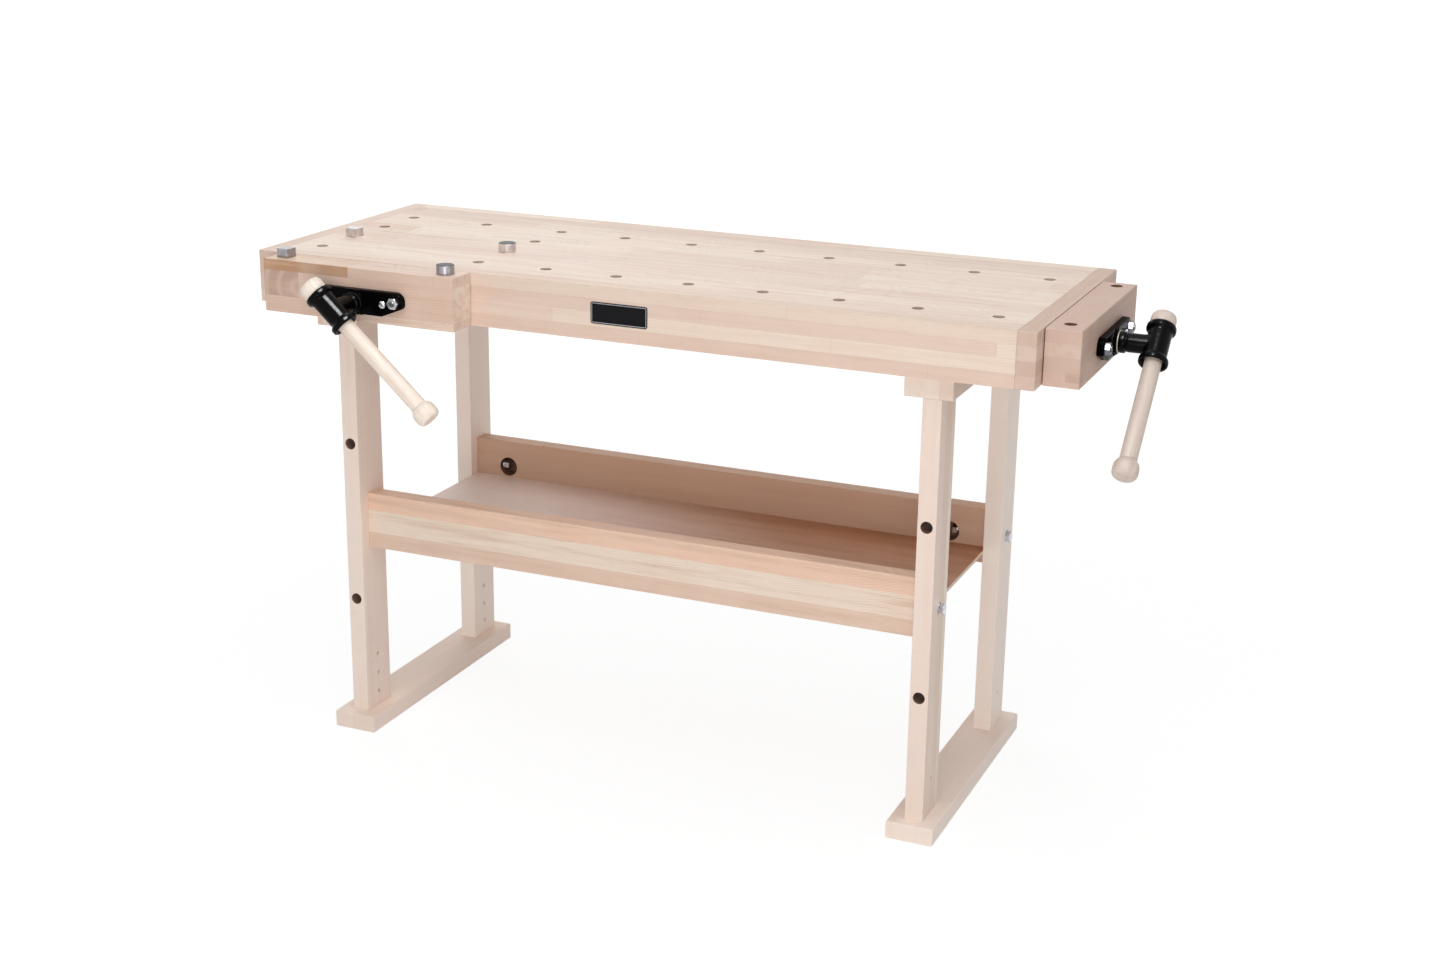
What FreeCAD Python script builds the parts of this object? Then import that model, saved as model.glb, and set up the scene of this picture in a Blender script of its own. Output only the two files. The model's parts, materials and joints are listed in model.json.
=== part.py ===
import FreeCAD, Part

import math
import os
from collections import namedtuple

# Woodworking bench with a front vise and an end vise, in millimetres.
#
# Bench coordinates: X runs along the top from its left end, Y runs back from the front apron's
# face, and Z runs up from the floor. Everything is modelled there, and moved once on export so
# that the origin lies at floor level under the middle of the whole bench.

Vector = FreeCAD.Vector
X_AXIS = Vector(1, 0, 0)
Y_AXIS = Vector(0, 1, 0)
Z_AXIS = Vector(0, 0, 1)

# --- top ---------------------------------------------------------------------------------
TOP_LENGTH = 1333.0
TOP_DEPTH = 500.0
TOP_HEIGHT = 844.0
LUMBER = 30.0                 # thickness of slab, aprons, end caps, legs and rails
APRON_HEIGHT = 87.0
EDGE_ROUND = 1.0              # softened edges of the boards

# --- underframe --------------------------------------------------------------------------
LEG_DEPTH = 75.0
LEG_FRONT_Y = 22.5            # front leg's front face, and the bearer's front end
LEFT_LEG_X = 134.6            # left face of the left legs
RIGHT_LEG_X = 1158.8          # left face of the right legs
FOOT_WIDTH = 78.0
FOOT_HEIGHT = 29.4
FOOT_INSET = 1.0              # from the top's front and back faces
BEARER_WIDTH = 77.0
BEARER_HEIGHT = 36.0
LEFT_BEARER_X = 94.4
RIGHT_BEARER_X = 1128.9
RAIL_HEIGHT = 98.0
RAIL_BOTTOM = 329.2
RAIL_INSET = 46.0             # from the top's front and back faces
SHELF_THICKNESS = 6.5
SHELF_TOP = 358.5
GROOVE_DEPTH = 6.5            # grooves in the rails that hold the shelf
GROOVE_PLAY = 0.3

# --- holes for dogs and pegs --------------------------------------------------------------
DOG_HOLE_R = 9.5
DOG_SHAFT_R = 9.4
FRONT_ROW_Y = 76.0
BACK_ROW_Y = 371.0
LEFT_COLUMNS_X = (75.0, 375.0)     # four holes deep, two of them in the rows
BACK_ONLY_X = 225.0                # the front vise takes this place in the front row
ROW_START_X = 499.5
ROW_PITCH = 125.75
ROW_COUNT = 7
PEG_HOLE_Z = (238.5, 519.0)        # through the front legs from front to back
SIDE_HOLE_Z = (54.5, 89.5, 125.5)  # in the legs' flat sides, the middle one right through
SIDE_HOLE_R = 4.0
SIDE_HOLE_DEPTH = 18.0

# --- joinery and fasteners ----------------------------------------------------------------
LEG_DOWEL_R = 5.0
LEG_DOWEL_SPREAD = 22.0
LEG_DOWEL_IN_LEG = 28.0
LEG_DOWEL_IN_BOARD = 20.0
RAIL_DOWEL_R = 4.0
RAIL_DOWEL_SPREAD = 33.0
RAIL_DOWEL_IN_LEG = 15.0
RAIL_DOWEL_IN_RAIL = 25.0
BOLT_R = 5.0
BOLT_HOLE_R = 5.5
BOLT_LENGTH = 95.0
BOLT_HEAD = 6.5
HEX_M10 = 17.0
NUT_M10 = 8.0
WASHER_R = 11.0
WASHER_T = 2.0
POCKET_R = 17.5
POCKET_FROM_LEG = 67.0
POCKET_DEPTH = 26.0
BLOCK_WIDTH = 34.0            # packing blocks between the bearers and the slab
BLOCK_FRONT_Y = 56.0
BLOCK_DEPTH = 70.0
TOP_SCREW_Y = 108.0
TOP_SCREW_R = 4.0
TOP_SCREW_BITE = 20.0
TOP_SCREW_HEAD = 5.5
HEX_M8 = 13.0

# --- vises, measured from the screw's axis and the jaw's outer face ------------------------
JAW_THICKNESS = 55.5
JAW_GAP = 1.5                 # from the jaw to the bench, as the vises stand
SCREW_Z = 790.5
GUIDE_SPREAD = 77.5
GUIDE_RISE = 6.0              # the rods lie a little higher than the screw
GUIDE_R = 10.0
GUIDE_CLEARANCE = 0.05
SCREW_R = 12.0
SCREW_CLEARANCE = 0.05
WOOD_CLEARANCE = 0.8          # around rods and screw where they pass through a board
GUIDE_REACH = 200.0           # from the jaw's inner face to the rod tie
SCREW_REACH = 191.0
FLANGE_HALF = 91.0
FLANGE_T = 11.0
BOSS_T = 13.4
BOSS_R = 26.0
BOSS_STEP_R = 21.5
FLANGE_TOP = 22.0
FLANGE_KEEL = -18.8
FLANGE_KEEL_HALF = 52.0
FLANGE_TIP_Z = -3.0           # where the rounded ends turn into the keel's slopes
FLANGE_TIP_R = 15.0           # the ends are rounded more above than below
FLANGE_TIP_LOW_R = 9.0
FLANGE_KEEL_R = 4.0
FLANGE_EDGE_R = 2.5
FLANGE_SCREW_AT = 55.0
FLANGE_SCREW_RISE = 1.5
FLANGE_SCREW_R = 3.0
FLANGE_SCREW_HEAD_R = 6.0
FLANGE_SCREW_HEAD_T = 3.6
FLANGE_SCREW_BITE = 30.0
STUD_R = 5.0
STUD_TIP = 21.0
THRUST_GAP = 0.3
THRUST_T = 1.2
COLLAR_R = 17.3
COLLAR_END = 25.5
NECK_R = 15.2
BARREL_AT = 72.0              # handle's axis, out from the jaw
BARREL_R = 18.3
BARREL_HALF = 35.0
BARREL_RIM_R = 23.0
BARREL_BAND = 10.0            # length of the thick band at each end of the barrel
MOUTH_R = 19.5                # the barrel's mouths open out to take the knobs' shoulders
MOUTH_DEPTH = 8.0
TENON_R = 8.0                 # turned-down front end of the screw, pinned in the hub
TENON_END = COLLAR_END + 12.0
HUB_PIN_AT = 20.5
HUB_PIN_STOP = 4.0            # the hub's pin goes in from below and stops this far inside
HANDLE_R = 13.3
HANDLE_CLEARANCE = 0.1
HANDLE_LENGTH = 296.0
HANDLE_TILT = 42.0            # degrees below level
KNOB_LENGTH = 29.0
KNOB_R = 20.0
KNOB_TENON_R = 7.0
KNOB_TENON = 20.0
KNOB_SEAT = 6.5               # how far a knob's shoulder goes into the barrel's mouth
RETAINER_R = 19.0
RETAINER_T = 9.0
RETAINER_RECESS = 12.0
PIN_R = 3.0
PLATE_HALF = 100.0            # nut plate behind the apron or end cap
PLATE_HALF_HEIGHT = 20.5
PLATE_RISE = 2.5
PLATE_T = 10.0
PLATE_SCREW_R = 3.0
PLATE_SCREW_BITE = 24.0
PLATE_SCREWS = [(side * 40.0, z) for side in (-1, 1) for z in (-10.0, 10.0)]
PLATE_SCREW_HEAD = 4.0
HEX_M6 = 10.0
NUT_BOSS_LENGTH = 40.0
BOSS_WALL = 5.0
RIB_T = 6.0
TIE_HALF = 93.0
TIE_HALF_HEIGHT = 15.0
TIE_T = 8.0
TIE_STUD_R = 5.0
TIE_NUT = 8.0

# --- dogs --------------------------------------------------------------------------------
DOG_SHAFT = 75.0
DOG_GAP = 0.3
SQUARE_DOG = 22.0
SQUARE_DOG_HEIGHT = 15.0
DOG_ON_TOP_TURN = -17.0       # degrees that the square dogs stand turned
DOG_ON_JAW_TURN = -6.0
ROUND_DOG_R = 14.7
ROUND_DOG_HEIGHT = 15.0

# --- blank plate on the apron -------------------------------------------------------------
BADGE_X = 618.0
BADGE_LENGTH = 98.0
BADGE_Z = 783.5
BADGE_HEIGHT = 35.0
BADGE_T = 0.8
BADGE_CORNER_R = 4.0

# --- worked out from the above ------------------------------------------------------------
GUIDES_X = (-GUIDE_SPREAD, GUIDE_SPREAD)
THRUST_AT = BOSS_T + THRUST_GAP
HUB_AT = THRUST_AT + THRUST_T
RETAINER_AT = JAW_THICKNESS - RETAINER_RECESS + 0.5
KNOB_END = BARREL_HALF - KNOB_SEAT + KNOB_LENGTH + 0.3   # upper knob's top, from the barrel's middle
APRON_BOTTOM = TOP_HEIGHT - APRON_HEIGHT
SLAB_BOTTOM = TOP_HEIGHT - LUMBER
BEARER_BOTTOM = APRON_BOTTOM - BEARER_HEIGHT
LEG_CENTRE_Y = LEG_FRONT_Y + LEG_DEPTH / 2
RAIL_CENTRE_Y = RAIL_INSET + LUMBER / 2
RAIL_CENTRE_Z = RAIL_BOTTOM + RAIL_HEIGHT / 2
RAIL_START_X = LEFT_LEG_X + LUMBER
ROW_X = [ROW_START_X + ROW_PITCH * k for k in range(ROW_COUNT)]
COLUMN_PITCH = (BACK_ROW_Y - FRONT_ROW_Y) / 3

# side is the way along the jaw that the handle leans as it hangs: +1 right, -1 left
Vise = namedtuple("Vise", "name screw_at turn jaw_left jaw_right dogs side")
VISES = (
    Vise("front", (225.0, 0.0), 0.0, -176.5, 178.5, (-150.0, 150.0), 1),
    Vise("end", (TOP_LENGTH, 223.0), 90.0, -185.0, 173.0, (-147.0, 148.0), -1),
)

VISE_REACH = JAW_GAP + JAW_THICKNESS + BARREL_AT + BARREL_RIM_R
ORIGIN = Vector((TOP_LENGTH + VISE_REACH) / 2, (TOP_DEPTH - VISE_REACH) / 2, 0)

nodes = {}


# --- small shapes -------------------------------------------------------------------------
def board(x0, x1, y0, y1, z0, z1, edge=EDGE_ROUND):
    """A board between two corners, with softened edges."""
    solid = Part.makeBox(x1 - x0, y1 - y0, z1 - z0, Vector(x0, y0, z0))
    return solid.makeFillet(edge, solid.Edges) if edge else solid


def cylinder(start, axis, length, radius):
    return Part.makeCylinder(radius, length, Vector(*start), axis)


def drilled(solid, holes):
    """The solid less a list of tools."""
    return solid.cut(Part.makeCompound(holes))


def joined(solids):
    """Solids fused into one, with the seams between flush faces taken out."""
    return solids[0].fuse(solids[1:]).removeSplitter()


def rims(solid, test):
    """Edges whose middle passes the test."""
    return [edge for edge in solid.Edges if test(edge.CenterOfMass)]


def turned(profile, start, axis):
    """A turned solid: profile lists (distance along the axis, radius) from end to end."""
    points = [Vector(radius, 0, along) for along, radius in profile]
    points = [Vector(0, 0, profile[0][0])] + points + [Vector(0, 0, profile[-1][0])]
    face = Part.Face(Part.makePolygon(points + [points[0]]))
    solid = face.revolve(Vector(0, 0, 0), Z_AXIS, 360)
    return placed(solid, start, axis)


def placed(solid, start, axis):
    """Move a solid made along +Z so that it stands at start and points along axis."""
    solid = solid.copy()
    rotation = FreeCAD.Rotation(Z_AXIS, axis)
    solid.Placement = FreeCAD.Placement(Vector(*start), rotation).multiply(solid.Placement)
    return solid


def hexagon(across_flats, height, start, axis):
    """A hexagon nut or bolt head with its corners taken off at both ends."""
    corner = across_flats / math.sqrt(3)
    points = [
        Vector(corner * math.cos(math.radians(a)), corner * math.sin(math.radians(a)), 0)
        for a in range(0, 420, 60)
    ]
    prism = Part.Face(Part.makePolygon(points)).extrude(Vector(0, 0, height))
    bevel = corner - across_flats / 2
    blank = Part.makeCylinder(corner, height)
    blank = blank.makeChamfer(bevel * 0.8, rims(blank, lambda c: abs(c.z - height / 2) > 0.4 * height))
    return placed(prism.common(blank), start, axis)


def nut(across_flats, height, hole_r, start, axis):
    return hexagon(across_flats, height, start, axis).cut(cylinder(start, axis, height, hole_r))


def washer(outer_r, hole_r, thickness, start, axis):
    return cylinder(start, axis, thickness, outer_r).cut(cylinder(start, axis, thickness, hole_r))


def stud(radius, length, start, axis):
    """A rod with a chamfered far end."""
    tip = 0.15 * radius
    return turned([(0, radius), (length - tip, radius), (length, radius - tip)], start, axis)


def lozenge(half_length, half_height, thickness, end_r):
    """A plate with rounded ends in the XZ plane, from Y = 0 out to -thickness."""
    plate = Part.makeBox(
        2 * half_length, thickness, 2 * half_height, Vector(-half_length, -thickness, -half_height)
    )
    corners = rims(plate, lambda c: abs(abs(c.x) - half_length) < 0.1 and abs(abs(c.z) - half_height) < 0.1)
    return plate.makeFillet(end_r, corners)


def keep(name, *solids):
    """Store a node: one solid, or a group of separate identical ones."""
    nodes[name] = solids[0] if len(solids) == 1 else Part.makeCompound(list(solids))


# --- top ----------------------------------------------------------------------------------
def dog_hole_places():
    """Every dog hole in the top, as (x, y)."""
    rows = [(x, y) for x in ROW_X for y in (FRONT_ROW_Y, BACK_ROW_Y)]
    columns = [(x, FRONT_ROW_Y + COLUMN_PITCH * k) for x in LEFT_COLUMNS_X for k in range(4)]
    return rows + columns + [(BACK_ONLY_X, BACK_ROW_Y)]


def to_bench(vise):
    """Placement of a vise's own frame: origin on the screw's axis at the jaw's outer face,
    X along the jaw, Y inward to the bench."""
    out = JAW_GAP + JAW_THICKNESS
    angle = math.radians(vise.turn)
    x = vise.screw_at[0] + out * math.sin(angle)
    y = vise.screw_at[1] - out * math.cos(angle)
    return FreeCAD.Placement(Vector(x, y, SCREW_Z), FreeCAD.Rotation(Z_AXIS, vise.turn))


def in_bench(vise, solid):
    solid = solid.copy()
    solid.Placement = to_bench(vise).multiply(solid.Placement)
    return solid


def vise_passages(vise):
    """Holes for a vise's rods, screw and plate screws through the board it hangs on."""
    face = JAW_THICKNESS + JAW_GAP
    start = face - 1
    length = LUMBER + 2
    holes = [
        cylinder((x, start, GUIDE_RISE), Y_AXIS, length, GUIDE_R + WOOD_CLEARANCE) for x in GUIDES_X
    ]
    holes.append(cylinder((0, start, 0), Y_AXIS, length, SCREW_R + WOOD_CLEARANCE))
    holes += [
        cylinder((x, face + LUMBER - PLATE_SCREW_BITE, z), Y_AXIS, PLATE_SCREW_BITE + 1, PLATE_SCREW_R)
        for x, z in PLATE_SCREWS
    ]
    return [in_bench(vise, hole) for hole in holes]


def make_top():
    front, end = VISES
    holes = [cylinder((x, y, 0), Z_AXIS, TOP_HEIGHT + 1, DOG_HOLE_R) for x, y in dog_hole_places()]
    holes += [top_screw_hole(x, y) for x, y in top_screw_places()]
    inner_x = (LUMBER, TOP_LENGTH - LUMBER)
    slab = board(*inner_x, LUMBER, TOP_DEPTH - LUMBER, SLAB_BOTTOM, TOP_HEIGHT, edge=0)
    keep("top_slab", drilled(slab, holes))

    front_apron = board(*inner_x, 0, LUMBER, APRON_BOTTOM, TOP_HEIGHT, edge=0)
    keep("front_apron", drilled(front_apron, vise_passages(front)))
    keep("back_apron", board(*inner_x, TOP_DEPTH - LUMBER, TOP_DEPTH, APRON_BOTTOM, TOP_HEIGHT, edge=0))

    keep("left_end_cap", board(0, LUMBER, 0, TOP_DEPTH, APRON_BOTTOM, TOP_HEIGHT))
    right_cap = board(TOP_LENGTH - LUMBER, TOP_LENGTH, 0, TOP_DEPTH, APRON_BOTTOM, TOP_HEIGHT)
    keep("right_end_cap", drilled(right_cap, vise_passages(end)))

    badge = Part.makeBox(BADGE_LENGTH, BADGE_T, BADGE_HEIGHT, Vector(BADGE_X, -BADGE_T, BADGE_Z))
    corners = rims(
        badge,
        lambda c: abs(abs(c.x - BADGE_X - BADGE_LENGTH / 2) - BADGE_LENGTH / 2) < 0.1
        and abs(abs(c.z - BADGE_Z - BADGE_HEIGHT / 2) - BADGE_HEIGHT / 2) < 0.1,
    )
    keep("blank_nameplate", badge.makeFillet(BADGE_CORNER_R, corners))


# --- underframe ---------------------------------------------------------------------------
def mirrored_y(y):
    return TOP_DEPTH - y


def leg_dowel_places():
    """Centres of the dowels that join legs to feet and bearers, as (x, y)."""
    return [
        (leg_x + LUMBER / 2, y + spread)
        for leg_x in (LEFT_LEG_X, RIGHT_LEG_X)
        for y in (LEG_CENTRE_Y, mirrored_y(LEG_CENTRE_Y))
        for spread in (-LEG_DOWEL_SPREAD, LEG_DOWEL_SPREAD)
    ]


def leg_dowels():
    """Two dowels at the foot and two at the bearer of each leg."""
    length = LEG_DOWEL_IN_LEG + LEG_DOWEL_IN_BOARD
    feet = FOOT_HEIGHT - LEG_DOWEL_IN_BOARD
    bearers = BEARER_BOTTOM - LEG_DOWEL_IN_LEG
    return [
        cylinder((x, y, z), Z_AXIS, length, LEG_DOWEL_R)
        for x, y in leg_dowel_places()
        for z in (feet, bearers)
    ]


def rail_ends():
    """Each rail end, as (x of the leg's inner face, direction into the rail, rail centre y)."""
    return [
        (x, way, y)
        for x, way in ((RAIL_START_X, 1), (RIGHT_LEG_X, -1))
        for y in (RAIL_CENTRE_Y, mirrored_y(RAIL_CENTRE_Y))
    ]


def rail_dowels():
    """Two dowels beside the bolt at each rail end, which keep the rail from turning."""
    length = RAIL_DOWEL_IN_LEG + RAIL_DOWEL_IN_RAIL
    return [
        cylinder((x - way * RAIL_DOWEL_IN_LEG, y, RAIL_CENTRE_Z + dz), X_AXIS * way, length, RAIL_DOWEL_R)
        for x, way, y in rail_ends()
        for dz in (-RAIL_DOWEL_SPREAD, RAIL_DOWEL_SPREAD)
    ]


def rail_bolt_holes():
    """Clearance holes from the legs' outer faces into the nut pockets."""
    return [
        cylinder(
            (x - way * LUMBER, y, RAIL_CENTRE_Z), X_AXIS * way, LUMBER + POCKET_FROM_LEG, BOLT_HOLE_R
        )
        for x, way, y in rail_ends()
    ]


def packing_block_x():
    """Centres of the packing blocks along X, clear of the vises' rods and the dog holes."""
    return (LEFT_BEARER_X + 1 + BLOCK_WIDTH / 2, RIGHT_BEARER_X + BEARER_WIDTH / 2 + 5)


def top_screw_places():
    """Centres of the screws that hold the top down, as (x, y)."""
    return [(x, y) for x in packing_block_x() for y in (TOP_SCREW_Y, mirrored_y(TOP_SCREW_Y))]


def top_screw_hole(x, y):
    length = SLAB_BOTTOM - BEARER_BOTTOM + TOP_SCREW_BITE + 1
    return cylinder((x, y, BEARER_BOTTOM - 1), Z_AXIS, length, TOP_SCREW_R)


def make_underframe():
    dowels = leg_dowels()
    pegs = rail_dowels()
    bolt_holes = rail_bolt_holes()
    screw_holes = [top_screw_hole(x, y) for x, y in top_screw_places()]

    for side, leg_x in (("left", LEFT_LEG_X), ("right", RIGHT_LEG_X)):
        centre_x = leg_x + LUMBER / 2
        foot_x = centre_x - FOOT_WIDTH / 2
        foot = board(
            foot_x, foot_x + FOOT_WIDTH, FOOT_INSET, TOP_DEPTH - FOOT_INSET, 0, FOOT_HEIGHT, edge=2.0
        )
        keep(side + "_foot", drilled(foot, dowels))

        bearer_x = LEFT_BEARER_X if side == "left" else RIGHT_BEARER_X
        bearer = board(
            bearer_x, bearer_x + BEARER_WIDTH,
            LEG_FRONT_Y, mirrored_y(LEG_FRONT_Y),
            BEARER_BOTTOM, APRON_BOTTOM,
        )
        keep(side + "_bearer", drilled(bearer, dowels + screw_holes))

        # the left frame's three side holes face right; the right frame is the same, turned round
        blind_from, blind_axis = (leg_x + LUMBER, X_AXIS * -1) if side == "left" else (leg_x, X_AXIS)
        for end, front_y in (("front", LEG_FRONT_Y), ("back", mirrored_y(LEG_FRONT_Y) - LEG_DEPTH)):
            centre_y = front_y + LEG_DEPTH / 2
            leg = board(leg_x, leg_x + LUMBER, front_y, front_y + LEG_DEPTH, FOOT_HEIGHT, BEARER_BOTTOM)
            peg_holes = [
                cylinder((centre_x, front_y - 1, z), Y_AXIS, LEG_DEPTH + 2, DOG_HOLE_R)
                for z in PEG_HOLE_Z if end == "front"
            ]
            low, middle, high = SIDE_HOLE_Z
            side_holes = [
                cylinder((blind_from, centre_y, z), blind_axis, depth, SIDE_HOLE_R)
                for z, depth in ((low, SIDE_HOLE_DEPTH), (middle, LUMBER + 1), (high, SIDE_HOLE_DEPTH))
            ]
            keep(side + "_" + end + "_leg", drilled(leg, peg_holes + side_holes + dowels + pegs + bolt_holes))

    pockets = [
        cylinder(
            (x + way * POCKET_FROM_LEG, inner, RAIL_CENTRE_Z), inward, POCKET_DEPTH, POCKET_R
        )
        for x, way in ((RAIL_START_X, 1), (RIGHT_LEG_X, -1))
        for inner, inward in (
            (RAIL_INSET + LUMBER, Y_AXIS * -1),
            (mirrored_y(RAIL_INSET + LUMBER), Y_AXIS),
        )
    ]
    shelf_y = RAIL_INSET + LUMBER - GROOVE_DEPTH
    groove = Part.makeBox(
        TOP_LENGTH, TOP_DEPTH - 2 * shelf_y + 2 * GROOVE_PLAY, SHELF_THICKNESS + GROOVE_PLAY,
        Vector(0, shelf_y - GROOVE_PLAY, SHELF_TOP - SHELF_THICKNESS - GROOVE_PLAY),
    )
    for name, rail_y in (("front", RAIL_INSET), ("back", mirrored_y(RAIL_INSET + LUMBER))):
        rail = board(
            RAIL_START_X, RIGHT_LEG_X, rail_y, rail_y + LUMBER, RAIL_BOTTOM, RAIL_BOTTOM + RAIL_HEIGHT
        )
        keep(name + "_rail", drilled(rail, pockets + pegs + bolt_holes + [groove]))
    keep("shelf", Part.makeBox(
        RIGHT_LEG_X - RAIL_START_X, TOP_DEPTH - 2 * shelf_y, SHELF_THICKNESS,
        Vector(RAIL_START_X, shelf_y, SHELF_TOP - SHELF_THICKNESS),
    ))

    blocks = [
        board(
            x - BLOCK_WIDTH / 2, x + BLOCK_WIDTH / 2, y, y + BLOCK_DEPTH, APRON_BOTTOM, SLAB_BOTTOM, edge=0
        )
        for x in packing_block_x()
        for y in (BLOCK_FRONT_Y, mirrored_y(BLOCK_FRONT_Y + BLOCK_DEPTH))
    ]
    keep("packing_blocks", *[drilled(block, screw_holes) for block in blocks])
    keep("leg_dowels", *dowels)
    keep("rail_dowels", *pegs)


def make_underframe_fasteners():
    bolts = []
    washers = []
    nuts = []
    for x, way, y in rail_ends():
        axis = X_AXIS * way
        outer = x - way * LUMBER
        under_head = (outer - way * WASHER_T, y, RAIL_CENTRE_Z)
        shank = stud(BOLT_R, BOLT_LENGTH, under_head, axis)
        head = hexagon(HEX_M10, BOLT_HEAD, under_head, axis * -1)
        bolts.append(joined([shank, head]))
        washers.append(washer(WASHER_R, BOLT_HOLE_R, WASHER_T, under_head, axis))
        # the pocket's round wall meets a washer's rim, so the washer stands a little off the bore
        seat = POCKET_FROM_LEG - math.sqrt(POCKET_R ** 2 - WASHER_R ** 2)
        seat_at = (x + way * seat, y, RAIL_CENTRE_Z)
        washers.append(washer(WASHER_R, BOLT_HOLE_R, WASHER_T, seat_at, axis))
        nut_at = (x + way * (seat + WASHER_T), y, RAIL_CENTRE_Z)
        nuts.append(nut(HEX_M10, NUT_M10, BOLT_R, nut_at, axis))
    keep("rail_bolts", *bolts)
    keep("rail_washers", *washers)
    keep("rail_nuts", *nuts)

    screws = []
    for x, y in top_screw_places():
        under_head = (x, y, BEARER_BOTTOM)
        length = SLAB_BOTTOM - BEARER_BOTTOM + TOP_SCREW_BITE
        head = hexagon(HEX_M8, TOP_SCREW_HEAD, under_head, Z_AXIS * -1)
        screws.append(joined([stud(TOP_SCREW_R, length, under_head, Z_AXIS), head]))
    keep("top_screws", *screws)


# --- vises --------------------------------------------------------------------------------
# Vise parts are drawn in the vise's own frame: X along the jaw, Y inward, Z up from the screw.
def jaw(vise):
    top = TOP_HEIGHT - SCREW_Z
    wood = board(vise.jaw_left, vise.jaw_right, 0, JAW_THICKNESS, top - APRON_HEIGHT, top)
    holes = [
        cylinder((x, JAW_THICKNESS / 2, top - APRON_HEIGHT - 1), Z_AXIS, APRON_HEIGHT + 2, DOG_HOLE_R)
        for x in vise.dogs
    ]
    holes += [
        cylinder((x, -1, GUIDE_RISE), Y_AXIS, JAW_THICKNESS + 2, GUIDE_R) for x in GUIDES_X
    ]
    holes.append(cylinder((0, -1, 0), Y_AXIS, JAW_THICKNESS + 2, SCREW_R + WOOD_CLEARANCE))
    recess_r = RETAINER_R + 1
    holes.append(cylinder((0, JAW_THICKNESS - RETAINER_RECESS, 0), Y_AXIS, RETAINER_RECESS + 1, recess_r))
    holes += [
        cylinder((side * FLANGE_SCREW_AT, 0, FLANGE_SCREW_RISE), Y_AXIS, FLANGE_SCREW_BITE, FLANGE_SCREW_R)
        for side in (-1, 1)
    ]
    return drilled(wood, holes)


def flange():
    """The black casting on the jaw: straight top edge, a shallow keel below, rounded ends."""
    right = [(FLANGE_HALF, FLANGE_TOP), (FLANGE_HALF, FLANGE_TIP_Z), (FLANGE_KEEL_HALF, FLANGE_KEEL)]
    outline = right + [(-x, z) for x, z in reversed(right)] + right[:1]
    face = Part.Face(Part.makePolygon([Vector(x, 0, z) for x, z in outline]))
    plate = face.extrude(Vector(0, -FLANGE_T, 0))
    plate = plate.makeFillet(FLANGE_TIP_R, rims(plate, lambda c: abs(c.z - FLANGE_TOP) < 0.1 < abs(c.x)))
    for corner_z, corner_r in ((FLANGE_TIP_Z, FLANGE_TIP_LOW_R), (FLANGE_KEEL, FLANGE_KEEL_R)):
        across = -FLANGE_T / 2
        corners = rims(plate, lambda c: abs(c.z - corner_z) < 0.1 < abs(c.x) and abs(c.y - across) < 0.1)
        plate = plate.makeFillet(corner_r, corners)
    plate = plate.makeFillet(FLANGE_EDGE_R, rims(plate, lambda c: abs(c.y + FLANGE_T) < 0.01))
    step = (FLANGE_T + BOSS_T) / 2
    steps = [(0, BOSS_R), (step, BOSS_R), (step, BOSS_STEP_R), (BOSS_T, BOSS_STEP_R - 0.5)]
    boss = turned(steps, (0, 0, 0), Y_AXIS * -1)
    height = FLANGE_TOP - FLANGE_KEEL
    boss = boss.common(Part.makeBox(60, 40, height, Vector(-30, -30, FLANGE_KEEL)))
    casting = joined([plate, boss])
    holes = [cylinder((0, -20, 0), Y_AXIS, 21, SCREW_R + SCREW_CLEARANCE)]
    holes += [cylinder((x, -20, GUIDE_RISE), Y_AXIS, 21, STUD_R) for x in GUIDES_X]
    holes += [
        cylinder((side * FLANGE_SCREW_AT, -20, FLANGE_SCREW_RISE), Y_AXIS, 21, FLANGE_SCREW_R)
        for side in (-1, 1)
    ]
    return drilled(casting, holes)


def guide_rod(x):
    """A guide rod with a stud at each end, for the flange's nut and the tie's nut."""
    rear = JAW_THICKNESS + GUIDE_REACH
    profile = [
        (-STUD_TIP, STUD_R - 1), (-STUD_TIP + 1, STUD_R), (0, STUD_R), (0, GUIDE_R), (rear, GUIDE_R),
        (rear, TIE_STUD_R), (rear + TIE_T + TIE_NUT + 1, TIE_STUD_R),
        (rear + TIE_T + TIE_NUT + 2, TIE_STUD_R - 1),
    ]
    return turned(profile, (x, 0, GUIDE_RISE), Y_AXIS)


def flange_screw(x):
    """A pan-head wood screw with a cross recess."""
    start = (x, -FLANGE_T, FLANGE_SCREW_RISE)
    shank = cylinder(start, Y_AXIS, FLANGE_T + FLANGE_SCREW_BITE, FLANGE_SCREW_R)
    profile = [
        (0, FLANGE_SCREW_HEAD_R), (1.6, FLANGE_SCREW_HEAD_R),
        (2.8, 0.8 * FLANGE_SCREW_HEAD_R), (FLANGE_SCREW_HEAD_T, 0.45 * FLANGE_SCREW_HEAD_R),
    ]
    head = turned(profile, start, Y_AXIS * -1)
    bars = [
        Part.makeBox(a, 2, b, Vector(x - a / 2, -FLANGE_T - FLANGE_SCREW_HEAD_T, FLANGE_SCREW_RISE - b / 2))
        for a, b in ((6.0, 1.3), (1.3, 6.0))
    ]
    return drilled(joined([shank, head]), bars)


def handle_axis(vise):
    """Unit vector down along the hanging handle, in the vise's own frame."""
    tilt = math.radians(HANDLE_TILT)
    return Vector(vise.side * math.cos(tilt), 0, -math.sin(tilt))


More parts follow.
